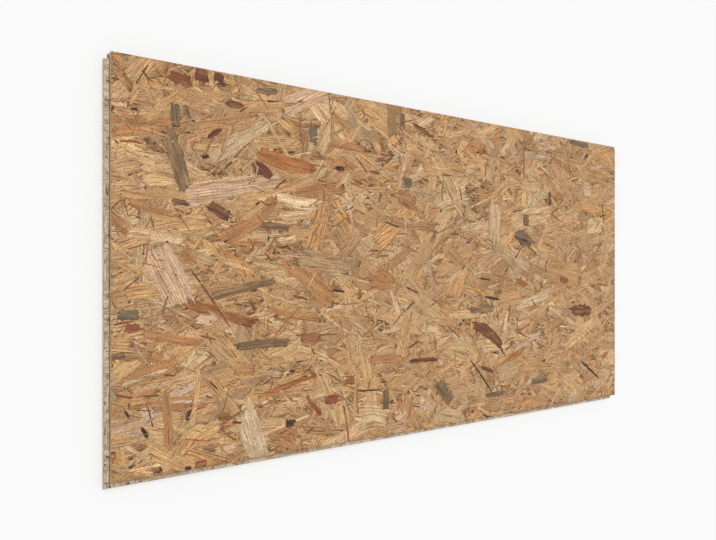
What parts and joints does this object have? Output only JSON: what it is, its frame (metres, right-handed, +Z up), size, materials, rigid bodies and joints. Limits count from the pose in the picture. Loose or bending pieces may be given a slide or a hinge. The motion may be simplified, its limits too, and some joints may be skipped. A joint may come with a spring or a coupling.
{
  "type": "tongue and groove osb board",
  "caption": "Oriented strand board floor panel with tongues on one end and one long edge and grooves on the opposite two.",
  "frame": {"origin": "on the underside, at the middle of the footprint with both tongues counted in", "axes": "+X along the length towards the grooved end, +Y across the width towards the grooved long edge, +Z up through the good face; the tongues are on the -X end and the -Y long edge"},
  "size_m": [1.2584, 0.6334, 0.022],
  "materials": {
    "osb": "pressed softwood strands, satin wax and resin sheen, raw milled edges"
  },
  "bodies": {
    "root": {"osb_board": "osb"}
  },
  "joints": []
}
